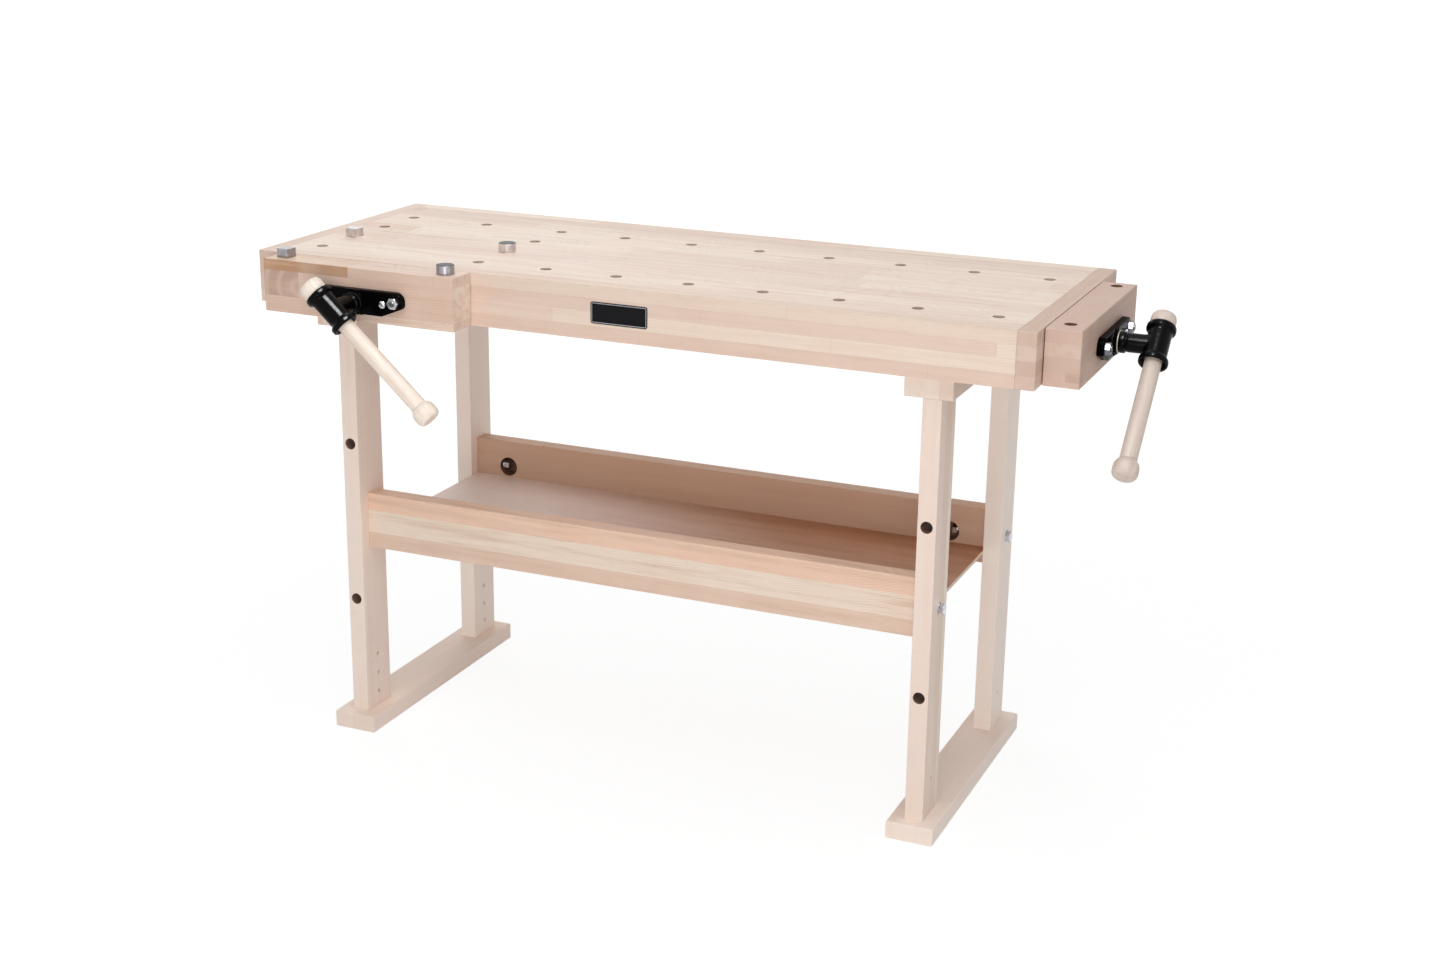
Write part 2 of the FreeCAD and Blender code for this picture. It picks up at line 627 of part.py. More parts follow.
def hub(vise):
    """The cast hub: collar and neck on the screw, and a barrel with banded ends across them."""
    neck = turned(
        [
            (HUB_AT, COLLAR_R - 1.2), (HUB_AT + 1.2, COLLAR_R), (COLLAR_END - 2, COLLAR_R),
            (COLLAR_END, COLLAR_R - 1.5), (COLLAR_END + 1, NECK_R + 0.8), (COLLAR_END + 3, NECK_R),
            (BARREL_AT, NECK_R),
        ],
        (0, 0, 0), Y_AXIS * -1,
    )
    down = handle_axis(vise)
    centre = Vector(0, -BARREL_AT, 0)
    start = BARREL_HALF - BARREL_BAND
    body = cylinder(centre - down * start, down, 2 * start, BARREL_R)
    band = [
        (start - 3, BARREL_R), (start - 1, BARREL_R + 1.2), (start + 0.5, BARREL_RIM_R - 1.2),
        (start + 2, BARREL_RIM_R), (BARREL_HALF - 2, BARREL_RIM_R), (BARREL_HALF - 0.6, BARREL_RIM_R - 0.7),
        (BARREL_HALF, BARREL_RIM_R - 2),
    ]
    bands = [turned(band, centre, down * way) for way in (-1, 1)]
    casting = joined([neck, body] + bands)
    bore = cylinder(centre - down * BARREL_HALF, down, 2 * BARREL_HALF, HANDLE_R + HANDLE_CLEARANCE)
    mouth = Part.makeCone(HANDLE_R + HANDLE_CLEARANCE, MOUTH_R, MOUTH_DEPTH)
    mouth.translate(Vector(0, 0, BARREL_HALF - MOUTH_DEPTH))
    mouths = [placed(mouth, centre, down * way) for way in (-1, 1)]
    socket = cylinder((0, -TENON_END, 0), Y_AXIS, TENON_END, TENON_R)
    return drilled(casting, [bore, socket, hub_pin_hole()] + mouths)


def hub_pin_hole():
    return cylinder((0, -HUB_PIN_AT, -COLLAR_R - 2), Z_AXIS, 2 * COLLAR_R + 2 - HUB_PIN_STOP, PIN_R)


def retainer_pin(length):
    return cylinder((0, RETAINER_AT + RETAINER_T / 2, -length / 2), Z_AXIS, length, PIN_R)


def spindle():
    """The vise screw: a tenon in the hub, and a long body that carries the thread."""
    rear = JAW_THICKNESS + SCREW_REACH
    profile = [
        (-TENON_END, TENON_R), (-HUB_AT, TENON_R), (-HUB_AT, SCREW_R),
        (rear - 3, SCREW_R), (rear, SCREW_R - 3),
    ]
    body = turned(profile, (0, 0, 0), Y_AXIS)
    return drilled(body, [hub_pin_hole(), retainer_pin(4 * RETAINER_R)])


def handle_parts(vise):
    """The wooden bar with a tenon at each end, and its two turned knobs."""
    down = handle_axis(vise)
    top = Vector(0, -BARREL_AT, 0) - down * KNOB_END
    bar_end = HANDLE_LENGTH - KNOB_LENGTH
    bar = turned(
        [
            (KNOB_LENGTH - KNOB_TENON, KNOB_TENON_R), (KNOB_LENGTH, KNOB_TENON_R),
            (KNOB_LENGTH, HANDLE_R), (bar_end, HANDLE_R),
            (bar_end, KNOB_TENON_R), (bar_end + KNOB_TENON, KNOB_TENON_R),
        ],
        top, down,
    )
    shape = [
        (0, HANDLE_R), (1.2, 15.2), (3.2, 17.0), (KNOB_SEAT, 18.9), (10, 19.8), (14, KNOB_R), (19, KNOB_R),
        (23, 19.4), (26, 17.8), (28, 15.4), (KNOB_LENGTH, 12.5),
    ]
    knob = turned(shape, (0, 0, 0), Z_AXIS)
    knob = knob.cut(cylinder((0, 0, -1), Z_AXIS, KNOB_TENON + 1, KNOB_TENON_R))
    upper = placed(knob, top + down * KNOB_LENGTH, down * -1)
    lower = placed(knob, top + down * bar_end, down)
    return bar, [upper, lower]


def nut_plate():
    """The casting behind the board: guide bushes at the sides and the screw's nut between."""
    inner = JAW_THICKNESS + JAW_GAP + LUMBER
    plate = lozenge(PLATE_HALF, PLATE_HALF_HEIGHT, PLATE_T, 12.0)
    plate.translate(Vector(0, inner + PLATE_T, PLATE_RISE))
    bosses = [
        cylinder((x, inner, GUIDE_RISE), Y_AXIS, NUT_BOSS_LENGTH, GUIDE_R + BOSS_WALL) for x in GUIDES_X
    ]
    bosses.append(cylinder((0, inner, 0), Y_AXIS, NUT_BOSS_LENGTH, SCREW_R + BOSS_WALL))
    rib_length = 0.65 * NUT_BOSS_LENGTH
    rib = Part.makeBox(2 * GUIDE_SPREAD, rib_length, RIB_T, Vector(-GUIDE_SPREAD, inner, -RIB_T / 2))
    casting = joined([plate, rib] + bosses)
    through = NUT_BOSS_LENGTH + 2
    holes = [
        cylinder((x, inner - 1, GUIDE_RISE), Y_AXIS, through, GUIDE_R + GUIDE_CLEARANCE) for x in GUIDES_X
    ]
    holes.append(cylinder((0, inner - 1, 0), Y_AXIS, through, SCREW_R + SCREW_CLEARANCE))
    holes += [cylinder((x, inner - 1, z), Y_AXIS, PLATE_T + 2, PLATE_SCREW_R) for x, z in PLATE_SCREWS]
    return drilled(casting, holes)


def plate_screw(x, z):
    inner = JAW_THICKNESS + JAW_GAP + LUMBER
    under_head = (x, inner + PLATE_T, z)
    shank = stud(PLATE_SCREW_R, PLATE_T + PLATE_SCREW_BITE - 2, under_head, Y_AXIS * -1)
    return joined([shank, hexagon(HEX_M6, PLATE_SCREW_HEAD, under_head, Y_AXIS)])


def rod_tie():
    """The flat bar that ties the rods' rear ends."""
    rear = JAW_THICKNESS + GUIDE_REACH
    bar = lozenge(TIE_HALF, TIE_HALF_HEIGHT, TIE_T, 10.0)
    bar.translate(Vector(0, rear + TIE_T, GUIDE_RISE))
    holes = [cylinder((x, rear - 1, GUIDE_RISE), Y_AXIS, TIE_T + 2, TIE_STUD_R) for x in GUIDES_X]
    return drilled(bar, holes)


def make_vise(vise):
    name = vise.name
    rear = JAW_THICKNESS + GUIDE_REACH

    def keep_vise(part, *solids):
        keep(name + "_" + part, *[in_bench(vise, solid) for solid in solids])

    # on the jaw
    keep_vise("jaw", jaw(vise))
    keep_vise("vise_flange", flange())
    keep_vise("guide_rods", *[guide_rod(x) for x in GUIDES_X])
    rod_nuts = []
    for x in GUIDES_X:
        rod_nuts.append(nut(HEX_M10, NUT_M10, STUD_R, (x, -FLANGE_T, GUIDE_RISE), Y_AXIS * -1))
        rod_nuts.append(nut(HEX_M10, TIE_NUT, TIE_STUD_R, (x, rear + TIE_T, GUIDE_RISE), Y_AXIS))
    keep_vise("rod_nuts", *rod_nuts)
    keep_vise("flange_screws", *[flange_screw(side * FLANGE_SCREW_AT) for side in (-1, 1)])
    keep_vise("rod_tie", rod_tie())

    # turning with the screw
    keep_vise("spindle", spindle())
    keep_vise("hub", hub(vise))
    keep_vise("thrust_washer", washer(COLLAR_R, SCREW_R, THRUST_T, (0, -THRUST_AT, 0), Y_AXIS * -1))
    collar = washer(RETAINER_R, SCREW_R, RETAINER_T, (0, RETAINER_AT, 0), Y_AXIS)
    keep_vise("retaining_collar", collar.cut(retainer_pin(4 * RETAINER_R)))
    length = 2 * COLLAR_R - 0.3 - HUB_PIN_STOP
    hub_pin = cylinder((0, -HUB_PIN_AT, -COLLAR_R + 0.3), Z_AXIS, length, PIN_R)
    keep_vise("screw_pins", hub_pin, retainer_pin(2 * RETAINER_R - 0.6))

    # sliding in the hub
    bar, knobs = handle_parts(vise)
    keep_vise("handle_bar", bar)
    keep_vise("handle_knobs", *knobs)

    # on the bench
    keep_vise("nut_plate", nut_plate())
    keep_vise("plate_screws", *[plate_screw(x, z) for x, z in PLATE_SCREWS])


# --- dogs ---------------------------------------------------------------------------------
def dog_shaft(x, y):
    """The shaft of a dog, its foot chamfered, from a little below the surface down."""
    top = (x, y, TOP_HEIGHT + DOG_GAP)
    return stud(DOG_SHAFT_R, DOG_SHAFT, top, Z_AXIS * -1)


def square_dog(x, y, turn):
    half = SQUARE_DOG / 2
    z = TOP_HEIGHT + DOG_GAP
    head = board(x - half, x + half, y - half, y + half, z, z + SQUARE_DOG_HEIGHT, edge=0.8)
    head.rotate(Vector(x, y, 0), Z_AXIS, turn)
    return joined([dog_shaft(x, y), head])


def round_dog(x, y):
    z = TOP_HEIGHT + DOG_GAP
    profile = [
        (0, ROUND_DOG_R - 0.8), (0.8, ROUND_DOG_R), (ROUND_DOG_HEIGHT - 1.0, ROUND_DOG_R),
        (ROUND_DOG_HEIGHT, ROUND_DOG_R - 1.0),
    ]
    return joined([dog_shaft(x, y), turned(profile, (x, y, z), Z_AXIS)])


def make_dogs():
    front = VISES[0]
    jaw_y = -JAW_GAP - JAW_THICKNESS / 2
    left, right = [front.screw_at[0] + x for x in front.dogs]
    back_y = FRONT_ROW_Y + COLUMN_PITCH
    keep("square_dog_on_top", square_dog(LEFT_COLUMNS_X[0], back_y, DOG_ON_TOP_TURN))
    keep("round_dog_on_top", round_dog(LEFT_COLUMNS_X[1], back_y))
    keep("square_dog_on_jaw", square_dog(left, jaw_y, DOG_ON_JAW_TURN))
    keep("round_dog_on_jaw", round_dog(right, jaw_y))


make_top()
make_underframe()
make_underframe_fasteners()
for each_vise in VISES:
    make_vise(each_vise)
make_dogs()

os.makedirs("parts", exist_ok=True)
for node_name, shape in nodes.items():
    shape.translate(ORIGIN * -1)
    shape.exportStep("parts/" + node_name + ".step")
print(len(nodes), "nodes")
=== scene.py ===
import bpy
import json
import math
from mathutils import Matrix, Vector


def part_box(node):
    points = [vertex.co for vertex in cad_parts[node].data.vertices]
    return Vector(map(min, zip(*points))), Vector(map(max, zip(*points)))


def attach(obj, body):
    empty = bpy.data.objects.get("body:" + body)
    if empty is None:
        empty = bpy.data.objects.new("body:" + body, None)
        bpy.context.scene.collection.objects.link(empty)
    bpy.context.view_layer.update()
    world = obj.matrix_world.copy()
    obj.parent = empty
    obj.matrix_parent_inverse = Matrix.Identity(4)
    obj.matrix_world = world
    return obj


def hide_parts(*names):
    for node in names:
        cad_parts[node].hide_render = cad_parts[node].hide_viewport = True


# A joiner's bench with a front vise and an end vise. Everything is in metres, in the frame of the
# packed bench: X along the top, Y back across it, Z up from the floor.

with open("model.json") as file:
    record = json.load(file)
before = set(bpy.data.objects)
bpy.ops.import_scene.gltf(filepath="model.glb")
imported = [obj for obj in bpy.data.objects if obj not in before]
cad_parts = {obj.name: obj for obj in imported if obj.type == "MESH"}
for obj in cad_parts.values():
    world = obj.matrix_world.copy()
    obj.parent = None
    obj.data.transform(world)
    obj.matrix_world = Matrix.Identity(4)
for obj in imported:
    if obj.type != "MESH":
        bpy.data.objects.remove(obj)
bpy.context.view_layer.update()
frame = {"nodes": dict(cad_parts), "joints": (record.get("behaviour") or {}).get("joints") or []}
bpy.ops.object.select_all(action="DESELECT")

FAR = 9.0             # farther out than any part of the bench
SKIN = 0.0015         # how deep a colour on one face of a board goes
HOLE_RADIUS = 0.0095  # dog holes, and the peg holes in the front legs
THROUGH = 1.0         # half the depth of a hole that goes right through
POCKET_RADIUS = 0.0175
POCKET_DEPTH = 0.026  # the nut pockets in the rails
BARREL_OUT = 0.072    # from the jaw's face to the middle of the hub's barrel
THREAD_PITCH = 0.005  # how far a jaw moves as its screw turns once


def bench(x, y, z):
    """A point measured on the bench itself, in millimetres: from the top's left end, from the
    front apron's face and from the floor."""
    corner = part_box("left_end_cap")[0]
    return Vector((corner.x + x / 1000, corner.y + y / 1000, z / 1000))


def middle_of(node):
    low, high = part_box(node)
    return (low + high) / 2


def joint(name):
    return next(each for each in frame["joints"] if each["name"] == name)


def region(x=(-FAR, FAR), y=(-FAR, FAR), z=(-FAR, FAR)):
    """A box, as its low and high corners, open wherever no limits are given."""
    return tuple(zip(x, y, z))


# --- mixing materials ---------------------------------------------------------------------
def rgb(colour):
    """A colour as it is seen, 0 to 255 a channel, made linear for the shader by the usual curve,
    which is straight near black."""
    if isinstance(colour, bpy.types.NodeSocket):
        return colour
    shares = [channel / 255 for channel in colour]
    return [((s + 0.055) / 1.055) ** 2.4 if s > 0.04045 else s / 12.92 for s in shares] + [1.0]


class Mixer:
    """Adds steps to a node tree. Each call adds one and hands back what comes out of it."""

    def __init__(self, tree):
        self.tree = tree

    def step(self, kind, inputs, output=0, **settings):
        node = self.tree.nodes.new("ShaderNode" + kind)
        for setting, value in settings.items():
            setattr(node, setting, value)
        for socket, value in inputs.items():
            self.join(value, node.inputs[socket])
        return node.outputs[output]

    def join(self, value, socket):
        if isinstance(value, bpy.types.NodeSocket):
            self.tree.links.new(value, socket)
        else:
            socket.default_value = value

    def calc(self, operation, *values):
        return self.step("Math", dict(enumerate(values)), operation=operation)

    def plus(self, first, second):
        return self.calc("ADD", first, second)

    def minus(self, first, second):
        return self.calc("SUBTRACT", first, second)

    def times(self, first, second):
        return self.calc("MULTIPLY", first, second)

    def over(self, first, second):
        return self.calc("DIVIDE", first, second)

    def seen_directly(self):
        """1 for what is seen straight, in a mirror or through glass, 0 for light on its way to
        anything else."""
        rays = self.step("LightPath", {}).node.outputs
        seen = rays["Is Camera Ray"]
        for ray in ("Is Glossy Ray", "Is Transmission Ray"):
            seen = self.calc("MAXIMUM", seen, rays[ray])
        return seen


class Recipe(Mixer):
    """A material in the making."""

    def __init__(self, name, **finish):
        self.material = bpy.data.materials.new(name)
        self.material.use_nodes = True
        super().__init__(self.material.node_tree)
        self.shader = self.tree.nodes["Principled BSDF"]
        for setting, value in finish.items():
            self.shader.inputs[setting.replace("_", " ")].default_value = value
        coordinates = self.tree.nodes.new("ShaderNodeTexCoord").outputs
        self.place = coordinates["Object"]
        self.normal = coordinates["Normal"]

    def axes(self, vector, letters="XYZ"):
        """The parts of a vector, in the order of the letters."""
        parts = self.step("SeparateXYZ", {0: vector}).node.outputs
        return [parts["XYZ".index(letter)] for letter in letters]

    def point(self, x, y, z):
        return self.step("CombineXYZ", {0: x, 1: y, 2: z})

    def drawn(self, board, ratio):
        """A place in a board, with its pattern drawn out along the grain to 1 / ratio."""
        along, across, through = board
        return self.point(self.times(along, ratio), across, through)

    def within(self, box):
        """1 inside a box, 0 outside it."""
        inside = 1.0
        for value, low, high in zip(self.axes(self.place), *box):
            above = self.calc("GREATER_THAN", value, low)
            below = self.calc("LESS_THAN", value, high)
            inside = self.times(inside, self.times(above, below))
        return inside

    def gap_squared(self, middle, letter):
        """The square of the distance from a point along one axis."""
        gap = self.minus(self.axes(self.place, letter)[0], middle["XYZ".index(letter)])
        return self.times(gap, gap)

    def noise(self, vector, scale, detail=2.0, roughness=0.5):
        inputs = {"Vector": vector, "Scale": scale, "Detail": detail, "Roughness": roughness}
        return self.step("TexNoise", inputs)

    def chance(self, vector, output="Value"):
        return self.step("TexWhiteNoise", {"Vector": vector}, output, noise_dimensions="3D")

    def band(self, value, low, high, to_low=0.0, to_high=1.0):
        inputs = {0: value, 1: low, 2: high, 3: to_low, 4: to_high}
        return self.step("MapRange", inputs, interpolation_type="SMOOTHSTEP")

    def blend(self, amount, first, second):
        inputs = {0: amount, 6: rgb(first), 7: rgb(second)}
        return self.step("Mix", inputs, 2, data_type="RGBA")

    def coats(self, base, *coats):
        """Lay colours over another one after the other, each given as (amount, colour)."""
        for amount, colour in coats:
            base = self.blend(amount, base, colour)
        return base

    def finish(self, colour, roughness, height, strength, distance):
        """Join up the shader: colour, roughness, and bumps of a strength and distance."""
        self.join(colour, self.shader.inputs["Base Color"])
        self.join(roughness, self.shader.inputs["Roughness"])
        inputs = {"Height": height, "Strength": strength, "Distance": distance}
        self.join(self.step("Bump", inputs), self.shader.inputs["Normal"])
        return self.material


# --- beech --------------------------------------------------------------------------------
CREAM = (242, 226, 210)
ROSE = (231, 208, 194)
TAN = (224, 196, 174)
BROWN = (200, 154, 122)
PINK = (198, 164, 146)
PAINTED_LIGHT_TINT = (255, 241, 230)
ARC = (232, 210, 198)
STREAK = (214, 180, 158)
PATCH = (240, 216, 200)
LATE_WOOD = (188, 146, 120)
FIBRE = (198, 160, 136)
FLECK = (158, 112, 84)
MARK_AND_SHADE = (178, 142, 126)
END_GRAIN = (196, 158, 134)
GLUE_LINE = (168, 126, 100)
FINGER_JOINT = (164, 122, 96)
PAINTED_HOLE_SHADE = (108, 70, 50)
RING_PITCH = 0.0042
ARC_PITCH = 0.0125


def glued_strips(mix, across, strips, seed):
    """A strip's number in its board, and how far away its nearest seam is."""
    if isinstance(strips, float):
        shift = seed * 0.0137
        place = mix.over(mix.plus(across, shift), strips)
        return mix.calc("FLOOR", place), mix.times(mix.calc("PINGPONG", place, 0.5), strips)
    strip, seam = float(seed), 1.0
    for place in strips:
        strip = mix.plus(strip, mix.calc("GREATER_THAN", across, place))
        seam = mix.calc("MINIMUM", seam, mix.calc("ABSOLUTE", mix.minus(across, place)))
    return strip, seam


def jointed_blocks(mix, along, strip, block, seed):
    """A finger-jointed block's number in its strip, and how far away its nearest end is."""
    start = mix.chance(mix.point(strip, seed + 0.5, 0.0))
    run = mix.plus(mix.over(along, block), mix.times(start, 9.0))
    return mix.calc("FLOOR", run), mix.times(mix.calc("PINGPONG", run, 0.5), block)


def wide_arc(mix, wander, box, middle):
    """The dark side of wide growth arcs round a middle, inside a box."""
    spread = mix.plus(mix.gap_squared(middle, "X"), mix.gap_squared(middle, "Z"))
    radius = mix.plus(mix.calc("SQRT", spread), mix.times(wander, 0.15))
    swing = mix.calc("PINGPONG", mix.over(radius, ARC_PITCH), 1.0)
    return mix.times(mix.band(swing, 0.4, 1.0, 0.0, 0.38), mix.within(box))


def soft_streak(mix, board, grain, wander, middle, half_length, half_width):
    """A streak along the grain, strongest in its middle and gone at its rim."""
    along, across = board[:2]
    on_middle, off_middle = (middle["XYZ".index(letter)] for letter in grain[:2])
    off = mix.minus(mix.plus(across, mix.times(wander, 0.15)), off_middle)
    off = mix.calc("POWER", mix.over(off, half_width), 2.0)
    on = mix.calc("POWER", mix.over(mix.minus(along, on_middle), half_length), 2.0)
    return mix.band(mix.plus(off, on), 0.0, 1.0, 0.3, 0.0)


def drilled_wall(mix, middle, letter, radius, half_depth):
    """1 on the walls and floor of a drilled hole, 0 elsewhere."""
    slack = 0.0003
    first, second = "XYZ".replace(letter, "")
    spread = mix.plus(mix.gap_squared(middle, first), mix.gap_squared(middle, second))
    wall = mix.calc("LESS_THAN", spread, (radius + slack) ** 2)
    depth = mix.calc("LESS_THAN", mix.gap_squared(middle, letter), (half_depth + slack) ** 2)
    return mix.times(wall, depth)


def beech(
    name, grain, strips, block=0.0, seed=0, tones=(), arcs=(), marks=(), bores=(), hole_shade=0.85,
    shade=(0.0, BROWN), painted_light=0.0, depth=1.0,
):
    """Steamed beech glued up from strips. grain is three letters: along the grain, across the
    stack of strips, and through. strips is a pitch in metres, or a list of the seams' places.
    block is the length of the finger-jointed blocks in a strip, and seed sets one board apart
    from the next. tones lists places with wood of another colour, as (box, colour). arcs lists
    places with wide growth arcs, as (box, their middle). marks lists soft dark streaks, as
    (middle, half length, half width); a very wide one paints shade. bores lists the drilled
    holes, as (middle, the axis's letter, radius, half the depth), and the argument after them
    sets how dark the shade painted on their walls and floors is. shade darkens the whole board
    towards a colour, as (amount, colour): painted shade on a board that stands in shadow, and a
    warmer wood tone on the others. The argument after it paints light over the whole board,
    brightening it towards a pale colour, and depth is the strength of its figure."""
    mix = Recipe(name, Specular_IOR_Level=0.3)
    board = along, across, through = mix.axes(mix.place, grain)
    strip, seam = glued_strips(mix, across, strips, seed)
    piece, end = jointed_blocks(mix, along, strip, block, seed) if block else (0.0, 1.0)
    cell = mix.point(strip, piece, seed + 0.25)
    luck = mix.chance(cell)
    red, green, blue = mix.axes(mix.chance(cell, "Color"))

    # growth rings: every block is cut from its own place in the log
    wander = mix.times(mix.minus(mix.noise(mix.drawn(board, 2.2), 5.0, 1.0), 0.5), 0.055)
    side = mix.plus(across, mix.band(red, 0.0, 1.0, -0.10, 0.10))
    side = mix.plus(side, mix.times(along, mix.band(blue, 0.0, 1.0, -0.05, 0.05)))
    out = mix.plus(through, mix.band(green, 0.0, 1.0, 0.02, 0.11))
    log = mix.calc("SQRT", mix.plus(mix.times(side, side), mix.times(out, out)))
    rings = mix.over(mix.plus(log, wander), RING_PITCH)
    late = mix.calc("FRACT", mix.plus(rings, mix.times(luck, 30.0)))
    fade = mix.noise(mix.drawn(board, 0.3), 22.0)
    late = mix.times(mix.calc("POWER", late, 3.0), mix.band(fade, 0.35, 0.7, 0.1, 1.0))

    # fibres, slow streaks, and the short brown flecks of the rays
    fibre = mix.noise(mix.drawn(board, 0.02), 1400.0, 3.0, 0.6)
    streaks = mix.noise(mix.drawn(board, 0.06), 75.0, 3.0, 0.6)
    fleck = mix.band(mix.noise(mix.drawn(board, 0.16), 1500.0, 1.0), 0.66, 0.74)
    patch = mix.noise(mix.place, 14.0)

    wood = mix.coats(
        mix.blend(mix.band(luck, 0.1, 0.9), CREAM, ROSE),
        (mix.band(red, 0.84, 1.0), TAN),
        *[(mix.within(box), colour) for box, colour in tones],
        *[(wide_arc(mix, wander, box, middle), ARC) for box, middle in arcs],
        (mix.band(streaks, 0.42, 0.75, 0.0, 0.34 * depth), STREAK),
        (mix.band(patch, 0.4, 0.8, 0.0, 0.25), PATCH),
        (mix.times(late, 0.16 * depth), LATE_WOOD),
        (mix.band(fibre, 0.35, 0.7, 0.0, 0.12), FIBRE),
        (mix.times(fleck, 0.22), FLECK),
        *[(soft_streak(mix, board, grain, wander, *mark), MARK_AND_SHADE) for mark in marks],
        # last a shade over the whole board, and painted light over all of it
        shade, (painted_light, PAINTED_LIGHT_TINT),
    )

    # end grain drinks more oil; glue lines and finger joints show as hairlines
    facing = mix.calc("ABSOLUTE", mix.axes(mix.normal, grain)[0])
    wood = mix.coats(
        wood,
        (mix.times(mix.band(facing, 0.6, 0.9), 0.08), END_GRAIN),
        (mix.band(seam, 0.0002, 0.0006, 0.12, 0.0), GLUE_LINE),
        (mix.band(end, 0.0002, 0.0007, 0.16, 0.0), FINGER_JOINT),
        # painted shade on the walls and floors of the drilled holes and nut pockets
        *[(mix.times(drilled_wall(mix, *bore), hole_shade), PAINTED_HOLE_SHADE) for bore in bores],
    )
    height = mix.minus(mix.times(fibre, 0.5), mix.times(fleck, 0.3))
    return mix.finish(wood, mix.band(streaks, 0.2, 0.8, 0.46, 0.60), height, 0.25, 0.0002)


# --- the other materials ------------------------------------------------------------------
def plywood(name):
    """The shelf: a thin hardwood board, brown on its faces, with pale plies at the edges."""
    mix = Recipe(name)
    board = along, across, through = mix.axes(mix.place)
    figure = mix.noise(mix.drawn((along, across, 0.0), 0.12), 22.0, 4.0, 0.6)
    fibre = mix.noise(mix.drawn(board, 0.03), 900.0, 3.0, 0.6)
    # the faces' brown is plywood veneer, deepened with painted shade for the shadow under the top
    face = mix.blend(mix.band(figure, 0.3, 0.75), (192, 140, 108), (170, 117, 84))
    face = mix.coats(
        face,
        # painted light: the faces grow paler towards the shelf's left end
        (mix.band(along, -0.60, 0.15, 1.0, 0.0), (255, 239, 231)),
        (mix.band(fibre, 0.35, 0.75, 0.0, 0.14), (150, 108, 82)),
    )
    two_plies = 0.0026
    ply = mix.calc("GREATER_THAN", mix.calc("FRACT", mix.over(through, two_plies)), 0.5)
    edge = mix.blend(ply, (238, 220, 200), (206, 172, 146))
    flat = mix.band(mix.calc("ABSOLUTE", mix.axes(mix.normal, "Z")[0]), 0.5, 0.9)
    rough = mix.band(figure, 0.2, 0.8, 0.42, 0.55)
    return mix.finish(mix.blend(flat, edge, face), rough, fibre, 0.2, 0.0002)


def turned_wood(name, middle, down, pale, dark):
    """The vises' handles: pale close-grained wood, turned and sanded. middle and down give the
    handle's axis, pale and dark its streaks."""
    mix = Recipe(name, Specular_IOR_Level=0.15)
    turn = Vector(down).to_track_quat("Z", "Y").to_euler()
    inputs = {"Vector": mix.place, "Location": middle, "Rotation": turn}
    x, y, z = mix.axes(mix.step("Mapping", inputs, vector_type="TEXTURE"))
    fibre = mix.noise(mix.point(x, y, mix.times(z, 0.03)), 1100.0, 3.0, 0.6)
    streaks = mix.noise(mix.point(x, y, mix.times(z, 0.08)), 130.0, 3.0, 0.55)
    bow = mix.plus(y, mix.times(mix.times(x, x), 9.0))
    bow = mix.plus(bow, mix.times(streaks, 0.006))
    ring_pitch = 0.0036
    rings = mix.calc("FRACT", mix.over(bow, ring_pitch))
    wood = mix.coats(
        mix.blend(mix.band(streaks, 0.35, 0.7), pale, dark),
        (mix.band(rings, 0.6, 1.0, 0.0, 0.14), (206, 170, 142)),
        (mix.band(fibre, 0.4, 0.75, 0.0, 0.16), (204, 170, 146)),
    )
    return mix.finish(wood, mix.band(fibre, 0.2, 0.8, 0.40, 0.52), fibre, 0.2, 0.0002)


def black_enamel(name, gloss=0.13, shine=0.07):
    """Gloss black enamel over a slightly uneven casting."""
    mix = Recipe(name, Specular_IOR_Level=shine)
    skin = mix.noise(mix.place, 160.0, 3.0)
    grit = mix.noise(mix.place, 900.0, 2.0, 0.6)
    black = mix.blend(mix.band(grit, 0.4, 0.8), (5, 4, 5), (9, 8, 9))
    rough = mix.band(skin, 0.3, 0.7, gloss, gloss + 0.08)
    return mix.finish(black, rough, mix.plus(skin, mix.times(grit, 0.08)), 0.25, 0.0004)


def steel(name, tint, rough, cap=None, turned=False, pitch=0.0003):
    """Bare or plated steel, blued above the height cap. The tool marks of a turned piece run
    up it; pitch is their size."""
    mix = Recipe(name, Metallic=1.0, Specular_IOR_Level=0.08)
    x, y, z = mix.axes(mix.place)
    cloud = mix.noise(mix.place, 90.0, 3.0)
    marks = mix.noise(mix.point(x, y, 0.0) if turned else mix.place, 1 / pitch, 2.0, 0.6)
    metal = mix.blend(mix.band(cloud, 0.3, 0.8), tint, [0.82 * value for value in tint])
    if cap:
        blued = mix.calc("GREATER_THAN", z, cap)
        metal = mix.blend(blued, metal, (44, 44, 54))
        mix.join(mix.minus(1.0, blued), mix.shader.inputs["Metallic"])
    worn = mix.band(cloud, 0.4, 0.8, 0.0, 0.05)
    rough = mix.plus(mix.band(marks, 0.3, 0.7, rough, rough + 0.10), worn)
    return mix.finish(metal, rough, marks, 0.12, 0.0001)


def nylon(name):
    mix = Recipe(name, Roughness=0.4)
    cream = mix.blend(mix.noise(mix.place, 300.0), (236, 226, 204), (222, 210, 186))
    mix.join(cream, mix.shader.inputs["Base Color"])
    return mix.material


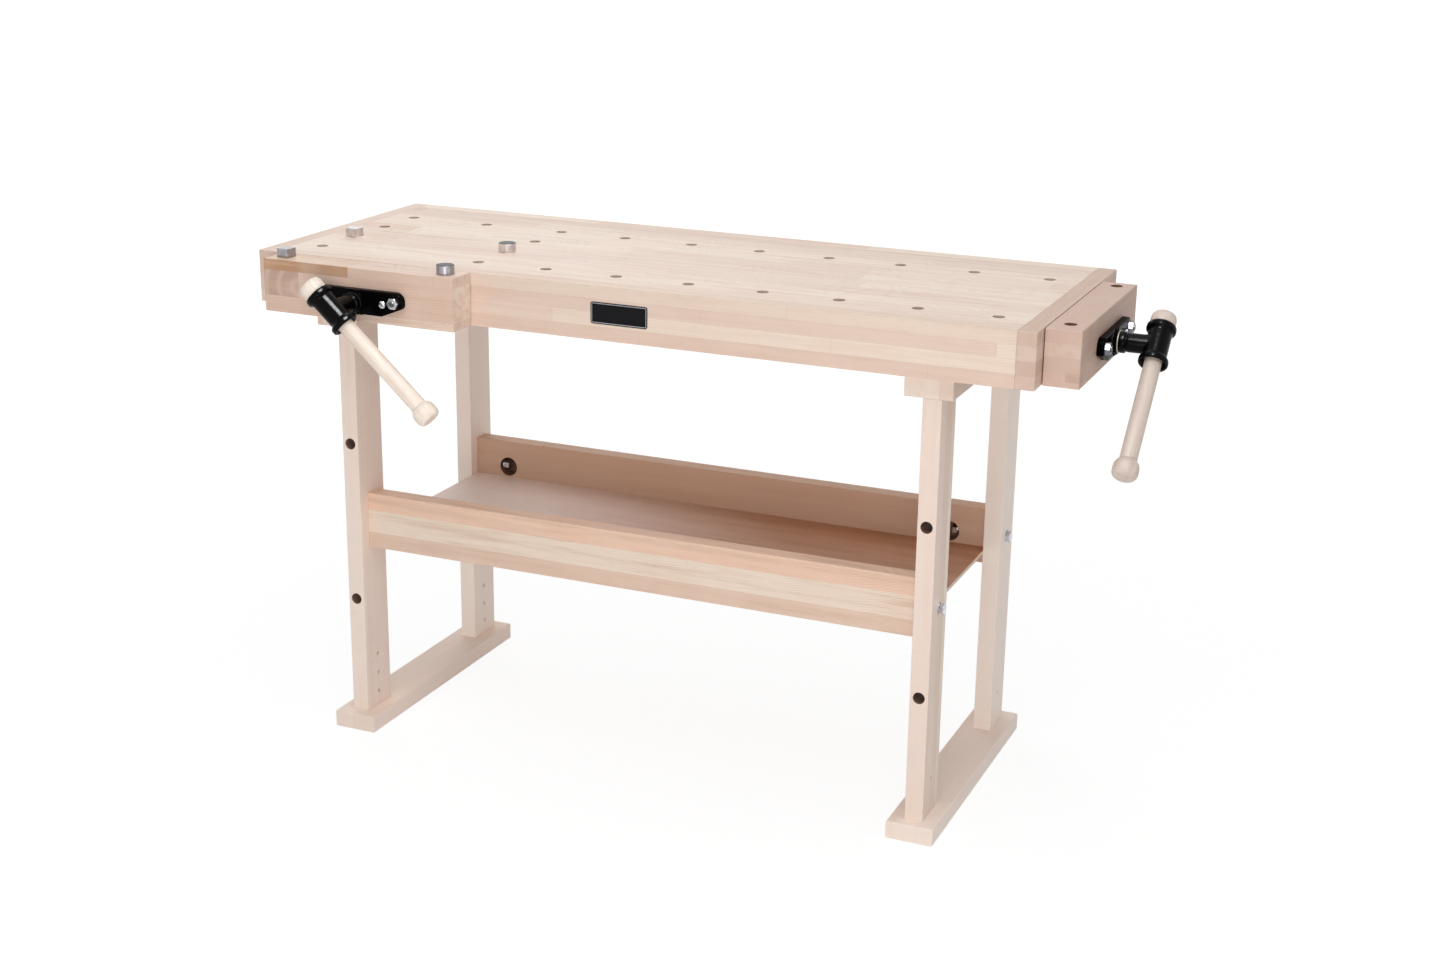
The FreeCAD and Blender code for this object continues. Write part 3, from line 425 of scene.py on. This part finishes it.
def nameplate(name):
    """A blank black plate with a fine bright line just inside its edge."""
    mix = Recipe(name, Specular_IOR_Level=0.1)
    low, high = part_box("blank_nameplate")
    x, z = mix.axes(mix.place, "XZ")
    corner = 0.004
    inset = 0.0022
    sides = []
    for value, start, stop in ((x, low.x, high.x), (z, low.z, high.z)):
        away = mix.calc("ABSOLUTE", mix.minus(value, (start + stop) / 2))
        side = mix.calc("MAXIMUM", mix.minus(away, (stop - start) / 2 - corner), 0.0)
        sides.append(mix.times(side, side))
    off = mix.calc("ABSOLUTE", mix.minus(mix.calc("SQRT", mix.plus(*sides)), corner - inset))
    speck = mix.noise(mix.place, 2500.0)
    black = mix.blend(mix.band(speck, 0.4, 0.7), (14, 13, 16), (22, 21, 24))
    plate = mix.blend(mix.band(off, 0.00035, 0.0005, 1.0, 0.0), black, (196, 196, 200))
    return mix.finish(plate, mix.band(speck, 0.3, 0.7, 0.26, 0.36), speck, 0.08, 0.0001)


def dress(node, material):
    """Give a CAD node its material."""
    for spot in frame["nodes"][node].material_slots:
        spot.material = material


# --- pieces turned, threaded and cast -----------------------------------------------------
def pick(piece):
    """Take one piece up, and nothing else."""
    bpy.ops.object.select_all(action="DESELECT")
    piece.select_set(True)
    bpy.context.view_layer.objects.active = piece


def settle(piece, angle):
    """Close a piece's seams, turn its faces outwards, and lay its place into its mesh."""
    pick(piece)
    bpy.ops.object.transform_apply(location=True, rotation=True, scale=True)
    bpy.ops.object.mode_set(mode="EDIT")
    bpy.ops.mesh.select_all(action="SELECT")
    bpy.ops.mesh.remove_doubles(threshold=0.000002)
    bpy.ops.mesh.normals_make_consistent(inside=False)
    bpy.ops.object.mode_set(mode="OBJECT")
    bpy.ops.object.shade_smooth_by_angle(angle=math.radians(angle))


def turn_up(name, profile, place, axis, sides=64, angle=35):
    """A piece turned on a lathe. profile lists (distance along the axis, radius), both in
    millimetres."""
    along, radius = profile[0]
    bpy.ops.object.select_all(action="DESELECT")
    bpy.ops.mesh.primitive_circle_add(
        vertices=sides, radius=radius / 1000, fill_type="NGON",
        location=place + axis * (along / 1000), rotation=axis.to_track_quat("Z", "Y").to_euler(),
    )
    piece = bpy.context.object
    piece.name = name
    bpy.ops.object.mode_set(mode="EDIT")
    for further, wider in profile[1:]:
        stroke = axis * ((further - along) / 1000)
        bpy.ops.mesh.extrude_region_move(TRANSFORM_OT_translate={"value": stroke})
        centre = place + axis * (further / 1000)
        bpy.ops.transform.resize(value=[wider / radius] * 3, center_override=centre)
        along, radius = further, wider
    bpy.ops.object.mode_set(mode="OBJECT")
    settle(piece, angle)
    return piece


def work(piece, kind, **settings):
    """Put a modifier on a piece and apply it."""
    pick(piece)
    tool = piece.modifiers.new(kind.lower(), kind)
    for setting, value in settings.items():
        setattr(tool, setting, value)
    bpy.ops.object.modifier_apply(modifier=tool.name)


def marry(piece, other, operation):
    """Join another piece to this one, or cut it out of this one."""
    work(piece, "BOOLEAN", operation=operation, object=other, solver="EXACT")
    bpy.data.objects.remove(other)


def hang(piece, body, material, node):
    """Finish a new piece, on its body and in the place of its CAD node."""
    piece.data.materials.clear()
    piece.data.materials.append(material)
    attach(piece, body)
    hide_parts(node)


def vise_lines(vise):
    """Where a vise's screw leaves the jaw, the way out along the screw, the middle of the hub's
    barrel, and the way up the handle."""
    screw = joint(vise + "_screw_turn")
    face, out = Vector(screw["pos_m"]), Vector(screw["axis"])
    return face, out, face + out * BARREL_OUT, Vector(joint(vise + "_handle_slide")["axis"])


def cast_hub(vise, material):
    """The hub: a collar and neck on the screw, flowing into a barrel with banded ends that the
    handle slides in. Its pin goes in from below."""
    face, out, centre, up = vise_lines(vise)
    band = [
        (22, 18.3), (24, 19.5), (25.5, 21.8), (27, 22.9), (33, 22.9), (34.3, 22.2), (34.9, 21.0),
    ]
    barrel = [(-along, radius) for along, radius in reversed(band)] + band
    neck = [
        (14.95, 15.8), (16.4, 17.2), (22.8, 17.2), (24.4, 16.4), (25.4, 14.2), (26.8, 14.2),
        (28.4, 15.1), (50, 15.1), (72, 15.1),
    ]
    bore = [(-37, 21.2), (-27, 13.4), (27, 13.4), (37, 21.2)]
    pin_hole = [(10, 2.9), (20, 2.9)]
    below_pin = face + out * 0.0205 - Vector((0, 0, 0.030))
    hub = turn_up(vise + "_hub_casting", barrel, centre, up)
    marry(hub, turn_up("neck", neck, face, out), "UNION")
    work(hub, "REMESH", mode="VOXEL", voxel_size=0.0007)
    work(hub, "SMOOTH", factor=0.5, iterations=9)
    marry(hub, turn_up("bore", bore, centre, up), "DIFFERENCE")
    marry(hub, turn_up("pin_hole", pin_hole, below_pin, Vector((0, 0, 1))), "DIFFERENCE")
    pick(hub)
    bpy.ops.object.shade_smooth_by_angle(angle=math.radians(48))
    hang(hub, vise + "_screw", material, vise + "_hub")


def cut_screw(vise, material):
    """The vise's screw: a plain end in the jaw and hub, and a square-shouldered thread behind
    it. Its lengths are in millimetres, inward from the jaw's face."""
    face, out = vise_lines(vise)[:2]
    inward = -out
    length = 246.5
    plain = [
        (-37.4, 7.9), (-14.9, 7.9), (-14.9, 11.95), (57.0, 11.95), (58.8, 9.3), (length - 2, 9.3),
        (length - 0.1, 7.6),
    ]
    bar = turn_up(vise + "_screw_bar", plain, face, inward, sides=48)

    # one pitch of the thread's outline: four strokes, from a single point at its root
    root, starts, shows_from, shows_to = 9.2, 54, 58.5, length - 4
    strokes = ((2.7, 0.8), (0.0, 1.6), (-2.7, 0.8), (0.0, 1.8))
    bpy.ops.object.select_all(action="DESELECT")
    bpy.ops.mesh.primitive_plane_add(
        size=0.001, location=face + inward * (starts / 1000),
        rotation=inward.to_track_quat("Z", "Y").to_euler(),
    )
    thread = bpy.context.object
    across = thread.matrix_world.to_3x3() @ Vector((1, 0, 0))
    bpy.ops.object.mode_set(mode="EDIT")
    bpy.ops.mesh.merge(type="CENTER")
    bpy.ops.transform.translate(value=across * (root / 1000))
    for outward, onward in strokes:
        stroke = across * (outward / 1000) + inward * (onward / 1000)
        bpy.ops.mesh.extrude_region_move(TRANSFORM_OT_translate={"value": stroke})
    bpy.ops.object.mode_set(mode="OBJECT")
    work(
        thread, "SCREW", angle=math.tau, screw_offset=THREAD_PITCH, iterations=40, steps=32,
        render_steps=32, use_merge_vertices=True, merge_threshold=0.00001,
    )

    # cut the thread square at both ends, and close it there
    bpy.ops.object.mode_set(mode="EDIT")
    for cut, side in ((shows_from, "clear_inner"), (shows_to, "clear_outer")):
        bpy.ops.mesh.select_all(action="SELECT")
        bpy.ops.mesh.remove_doubles(threshold=0.000002)
        bpy.ops.mesh.bisect(
            plane_co=face + inward * (cut / 1000), plane_no=inward, use_fill=True, **{side: True}
        )
    bpy.ops.object.mode_set(mode="OBJECT")
    settle(thread, 30)
    pick(bar)
    thread.select_set(True)
    bpy.ops.object.join()
    hang(bar, vise + "_screw", material, vise + "_spindle")


def turn_handle(vise, material):
    """The handle: a turned bar, and one knob copied to both ends of it."""
    barrel, up = vise_lines(vise)[2:]
    top_end, lower_knob, half_way = 0.0578, 0.267, 0.148
    top, down = barrel + up * top_end, -up
    bar = [
        (9.0, 6.9), (29.0, 6.9), (29.0, 13.2), (29.4, 13.3), (266.6, 13.3), (267.0, 13.2),
        (267.0, 6.9), (287.0, 6.9),
    ]
    stick = turn_up(vise + "_handle_stick", bar, top, down)
    hang(stick, vise + "_handle", material, vise + "_handle_bar")
    knob = [
        (0.05, 13.0), (0.3, 13.9), (1.2, 15.2), (3.2, 17.0), (6.5, 18.8), (10, 19.7), (14, 19.95),
        (19, 19.95), (23, 19.4), (26, 17.9), (27.8, 15.6), (28.7, 13.0), (28.95, 10.0),
        (28.95, 5.0),
    ]
    lower = turn_up(
        vise + "_handle_knob_lower", knob, top + down * lower_knob, down, sides=32, angle=60
    )
    work(lower, "SUBSURF", levels=2, render_levels=2)
    pick(lower)
    bpy.ops.object.duplicate()
    upper = bpy.context.object
    upper.name = vise + "_handle_knob_upper"
    turn = Matrix.Rotation(math.pi, 4, up.orthogonal())
    centre = Matrix.Translation(top + down * half_way)
    upper.matrix_world = centre @ turn @ centre.inverted() @ upper.matrix_world
    settle(upper, 60)
    for each in (lower, upper):
        hang(each, vise + "_handle", material, vise + "_handle_knobs")


# --- the boards ---------------------------------------------------------------------------
BOARDS = {
    "top_slab": dict(
        grain="XYZ", strips=0.043, block=0.42, seed=3, hole_shade=0.3, painted_light=0.2, depth=1.6,
    ),
    "front_apron": dict(
        grain="XZY", strips=[0.779, 0.802, 0.823], block=0.47, seed=5, shade=(0.10, BROWN),
    ),
    "back_apron": dict(grain="XZY", strips=[0.781, 0.803, 0.824], block=0.51, seed=8),
    "left_end_cap": dict(grain="YZX", strips=[0.779, 0.800, 0.822], seed=11),
    "right_end_cap": dict(
        grain="YZX", strips=[0.778, 0.800, 0.823], seed=14, shade=(0.3, PINK), depth=1.8,
    ),
    "front_jaw": dict(
        grain="XZY", strips=[0.7705, 0.7845, 0.827], block=0.19, seed=17, depth=2.2,
    ),
    "end_jaw": dict(
        grain="YZX", strips=[0.7795, 0.802, 0.823], seed=20, shade=(0.3, PINK), depth=2.2,
    ),
    # painted light on the feet, bearers and legs, most on the back legs, which stand deepest in
    # shade
    "left_foot": dict(grain="YXZ", strips=0.040, seed=23, painted_light=0.6),
    "right_foot": dict(grain="YXZ", strips=0.040, seed=26, painted_light=0.75),
    "left_bearer": dict(grain="YXZ", strips=0.040, seed=29, painted_light=0.3),
    "right_bearer": dict(grain="YXZ", strips=0.040, seed=32, painted_light=0.3),
    "left_front_leg": dict(grain="ZYX", strips=0.026, seed=35, painted_light=0.45),
    "left_back_leg": dict(grain="ZYX", strips=0.026, seed=38, painted_light=0.9),
    "right_front_leg": dict(grain="ZYX", strips=0.026, seed=41, painted_light=0.35),
    "right_back_leg": dict(grain="ZYX", strips=0.026, seed=44, painted_light=0.9),
    "front_rail": dict(grain="XZY", strips=[0.357, 0.397], seed=47, depth=2.2),
    # the back rail stands under the top: its shade is painted shade
    "back_rail": dict(grain="XZY", strips=[0.360, 0.398], seed=50, shade=(0.67, BROWN)),
    "packing_blocks": dict(grain="YXZ", strips=0.040, seed=53),
    "leg_dowels": dict(grain="ZYX", strips=0.040, seed=56),
    "rail_dowels": dict(grain="XZY", strips=0.040, seed=59),
}

# the colours of the strips in a board, from the lowest up; None leaves a strip as it is
STRIP_TONES = {
    "front_apron": [(230, 205, 189), None, None, (236, 218, 202)],
    "right_end_cap": [(226, 200, 186), (210, 186, 170), (228, 210, 196), (216, 194, 178)],
    "end_jaw": [(220, 194, 180), (212, 190, 174), (224, 206, 192), (214, 188, 176)],
    "front_rail": [(228, 200, 180), (240, 222, 204), (238, 202, 178)],
}
for node, colours in STRIP_TONES.items():
    edges = [-FAR, *BOARDS[node]["strips"], FAR]
    spans = zip(edges, edges[1:])
    BOARDS[node]["tones"] = [(region(z=s), tone) for s, tone in zip(spans, colours) if tone]

# the darker corner of the end jaw's front, and its outer face
front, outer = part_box("end_jaw")[0].y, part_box("end_jaw")[1].x
BOARDS["end_jaw"]["tones"] += [
    (region(x=(outer - 0.022, FAR), y=(-FAR, front + SKIN), z=(0.766, 0.7795)), (192, 164, 148)),
    (region(x=(outer - SKIN, FAR)), (176, 150, 138)),
]

# the front jaw's face, its brown top strip at the left, and its end block with wide arcs
on_face = (-FAR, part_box("front_jaw")[0].y + SKIN)
brown_strip = (-FAR, bench(210, 0, 0).x)
arched_block = region((-FAR, bench(115, 0, 0).x), on_face, (0.7845, 0.827))
BOARDS["front_jaw"]["tones"] = [
    (region(y=on_face), (226, 196, 178)),
    (region(x=brown_strip, z=(0.827, FAR)), (226, 198, 174)),
    (region(x=brown_strip, y=on_face, z=(0.827, FAR)), (188, 144, 110)),
    (arched_block, (190, 158, 142)),
    (region(x=(bench(230, 0, 0).x, FAR), y=on_face, z=(-FAR, 0.7705)), (236, 212, 194)),
]
BOARDS["front_jaw"]["arcs"] = [(arched_block, bench(113, 0, 801))]

# two streaks on the worktop, and a wide painted shade that darkens its far side
BOARDS["top_slab"]["marks"] = [
    (bench(212, 233, 844), 0.135, 0.010),
    (bench(360, 474, 844), 0.090, 0.009),
    (bench(666, 560, 844), 3.0, 0.20),
]


def drill(board, letter, middles, radius=HOLE_RADIUS, half_depth=THROUGH):
    """Say where a board's holes are, so that shade is painted on their walls and floors."""
    BOARDS[board]["bores"] = [(middle, letter, radius, half_depth) for middle in middles]


# in mm: two rows of dog holes along the top, two columns across it at the front vise, and one
# hole between them
ROWS, ROW_START, ROW_PITCH = (76, 371), 499.5, 125.75
COLUMNS, COLUMN_PITCH = (75, 375), 98.333
dog_holes = [(ROW_START + ROW_PITCH * k, y) for k in range(7) for y in ROWS]
dog_holes += [(x, ROWS[0] + COLUMN_PITCH * k) for x in COLUMNS for k in range(4)]
dog_holes += [(225, ROWS[1])]
drill("top_slab", "Z", [bench(x, y, 0) for x, y in dog_holes])
for leg, x in (("left_front_leg", 149.6), ("right_front_leg", 1173.8)):
    drill(leg, "Y", [bench(x, 0, z) for z in (238.5, 519.0)])

front_jaw, end_jaw = middle_of("front_jaw"), middle_of("end_jaw")
front_screw, end_screw = vise_lines("front")[0], vise_lines("end")[0]
drill("front_jaw", "Z", [Vector((front_screw.x + x, front_jaw.y, 0)) for x in (-0.150, 0.150)])
drill("end_jaw", "Z", [Vector((end_jaw.x, end_screw.y + y, 0)) for y in (-0.147, 0.148)])

# the round pockets for the rail bolts' nuts, in the rails' inner faces
POCKETS_X, BOLT_HEIGHT = (231.6, 1091.8), 0.3782
front_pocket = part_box("front_rail")[1].y - POCKET_DEPTH / 2
back_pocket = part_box("back_rail")[0].y + POCKET_DEPTH / 2
for rail, y in (("front_rail", front_pocket), ("back_rail", back_pocket)):
    middles = [Vector((bench(x, 0, 0).x, y, BOLT_HEIGHT)) for x in POCKETS_X]
    drill(rail, "Y", middles, POCKET_RADIUS, POCKET_DEPTH / 2)

for node, cut in BOARDS.items():
    dress(node, beech(node + "_beech", **cut))
dress("shelf", plywood("shelf_plywood"))

# --- metal and handles --------------------------------------------------------------------
enamel = black_enamel("gloss_black_enamel")
foundry_paint = black_enamel("black_foundry_paint", gloss=0.24)
zinc = steel("bright_zinc", (214, 216, 222), 0.16)
# a darker copy of the zinc for the end vise's nuts: painted shade, as they stand in shadow
shaded_zinc = steel("shaded_zinc", (140, 140, 148), 0.30)
ground_bar = steel("ground_bar", (188, 188, 186), 0.20)
dull_rod = steel("dull_rod", (118, 117, 116), 0.30)

VISES = {
    "front": dict(
        plate_shine=0.03, nuts=zinc, washer=dull_rod, pale=(252, 240, 228), dark=(242, 224, 208),
    ),
    # the end handle is the same wood in darker colours: painted shade, as it stands in shadow
    "end": dict(
        plate_shine=0.01, nuts=shaded_zinc, washer=nylon("cream_nylon"),
        pale=(222, 208, 198), dark=(212, 194, 182),
    ),
}
for vise, finish in VISES.items():
    parts = {
        "vise_flange": black_enamel(vise + "_plate_enamel", shine=finish["plate_shine"]),
        "nut_plate": foundry_paint,
        "rod_tie": foundry_paint,
        "guide_rods": dull_rod,
        "rod_nuts": finish["nuts"],
        "thrust_washer": finish["washer"],
        "retaining_collar": ground_bar,
        "screw_pins": ground_bar,
        "flange_screws": zinc,
        "plate_screws": zinc,
    }
    for part, material in parts.items():
        dress(f"{vise}_{part}", material)
    cast_hub(vise, enamel)
    cut_screw(vise, ground_bar)
    knobs, down = middle_of(vise + "_handle_knobs"), joint(vise + "_handle_slide")["axis"]
    wood = turned_wood(vise + "_handle_wood", knobs, down, finish["pale"], finish["dark"])
    turn_handle(vise, wood)

dress("blank_nameplate", nameplate("black_nameplate"))
for node in ("rail_bolts", "rail_washers", "rail_nuts", "top_screws"):
    dress(node, zinc)

# the dogs' heads stand 15 mm proud, and the round ones are blued on top. The same steel is
# lighter on the top's dogs and darker on the jaw's: a painted reflection.
blued_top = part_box("top_slab")[1].z + 0.0147
for place, tint in (("top", (224, 220, 220)), ("jaw", (172, 170, 174))):
    marks = dict(turned=True, pitch=0.0004)
    polished = steel("polished_steel_" + place, tint, 0.12, **marks)
    capped = steel("blued_top_steel_" + place, tint, 0.12, cap=blued_top, **marks)
    dress("square_dog_on_" + place, polished)
    dress("round_dog_on_" + place, capped)

# --- the room -----------------------------------------------------------------------------
WHITE = (1.0, 1.0, 1.0, 1.0)


def make_floor():
    """A white floor that shows the bench's shadow, and less of it farther away."""
    bpy.ops.mesh.primitive_plane_add(size=60.0, location=(0, 0, 0))
    floor = bpy.context.object
    floor.name = "floor"
    mix = Recipe(
        "white_floor", Base_Color=(0.86, 0.86, 0.86, 1.0), Roughness=0.9, Specular_IOR_Level=0.1,
    )
    glow = mix.step("Emission", {"Color": WHITE, "Strength": 1.10})
    away = mix.step("VectorMath", {0: mix.place}, "Value", operation="LENGTH")
    share = mix.times(mix.seen_directly(), mix.band(away, 1.2, 3.6, 0.79, 1.0))
    surface = mix.step("MixShader", {0: share, 1: mix.shader.outputs[0], 2: glow})
    mix.join(surface, mix.tree.nodes["Material Output"].inputs["Surface"])
    floor.data.materials.append(mix.material)


def make_world():
    """Soft white light from all round, and plain white wherever the world is seen."""
    world = bpy.data.worlds.new("studio")
    bpy.context.scene.world = world
    world.use_nodes = True
    mix = Mixer(world.node_tree)
    lit = mix.tree.nodes["Background"]
    lit.inputs["Color"].default_value = WHITE
    lit.inputs["Strength"].default_value = 0.40
    seen = mix.step("Background", {"Color": WHITE, "Strength": 1.0})
    sky = mix.step("MixShader", {0: mix.seen_directly(), 1: lit.outputs[0], 2: seen})
    mix.join(sky, mix.tree.nodes["World Output"].inputs["Surface"])


def softbox(name, place, aim, size, power, lean=0.0, glint=False):
    """A soft lamp, turned in its own plane by lean, in degrees. A glint is seen only in what
    shines, and lights nothing."""
    lamp = bpy.data.lights.new(name, "AREA")
    lamp.shape = "RECTANGLE"
    lamp.size, lamp.size_y = size
    lamp.energy = power
    stand = bpy.data.objects.new(name, lamp)
    stand.location = place
    facing = (Vector(aim) - Vector(place)).to_track_quat("-Z", "Y").to_matrix()
    stand.rotation_euler = (facing @ Matrix.Rotation(math.radians(lean), 3, "Z")).to_euler()
    stand.visible_diffuse = not glint
    bpy.context.scene.collection.objects.link(stand)


def make_camera(place, yaw, pitch, roll, focal, shift):
    """A camera that looks back along the bench's Y, turned by yaw, down by pitch, and rolled."""
    lens = bpy.data.cameras.new("camera")
    lens.sensor_width = 36.0
    lens.lens = focal
    lens.shift_x, lens.shift_y = shift
    lens.clip_end = 100.0
    camera = bpy.data.objects.new("camera", lens)
    bpy.context.scene.collection.objects.link(camera)
    turns = ((yaw, "Z"), (90 - pitch, "X"), (roll, "Z"))
    yaw, pitch, roll = (Matrix.Rotation(math.radians(angle), 4, axis) for angle, axis in turns)
    camera.matrix_world = Matrix.Translation(place) @ (yaw @ pitch @ roll)
    bpy.context.scene.camera = camera


make_floor()
make_world()
softbox("front_low", (0.9, -3.0, 0.9), aim=(0.0, 0.0, 0.6), size=(1.6, 1.2), power=30)
softbox("front_high", (0.2, -1.6, 3.2), aim=(0.1, 0.0, 0.6), size=(2.6, 1.6), power=21)
softbox("overhead", (0.2, 0.1, 3.4), aim=(0.1, 0.0, 0.8), size=(3.0, 1.4), power=15)
softbox("right_side", (3.0, -0.4, 1.6), aim=(0.0, 0.0, 0.6), size=(1.4, 1.4), power=6)
softbox(
    "barrel_glint", (0.50, -1.05, 2.8), aim=(-0.52, -0.30, 0.8), size=(1.3, 0.32), power=130,
    lean=27, glint=True,
)
softbox("behind_left", (-1.8, 2.0, 2.6), aim=(0.0, 0.0, 0.6), size=(1.8, 1.8), power=17)
make_camera(
    bench(2055.7, -2860.7, 1535.6), yaw=22.848, pitch=17.341, roll=0.865, focal=52.186,
    shift=(-0.0035, -0.0039),
)
bpy.context.scene.view_settings.view_transform = "Standard"
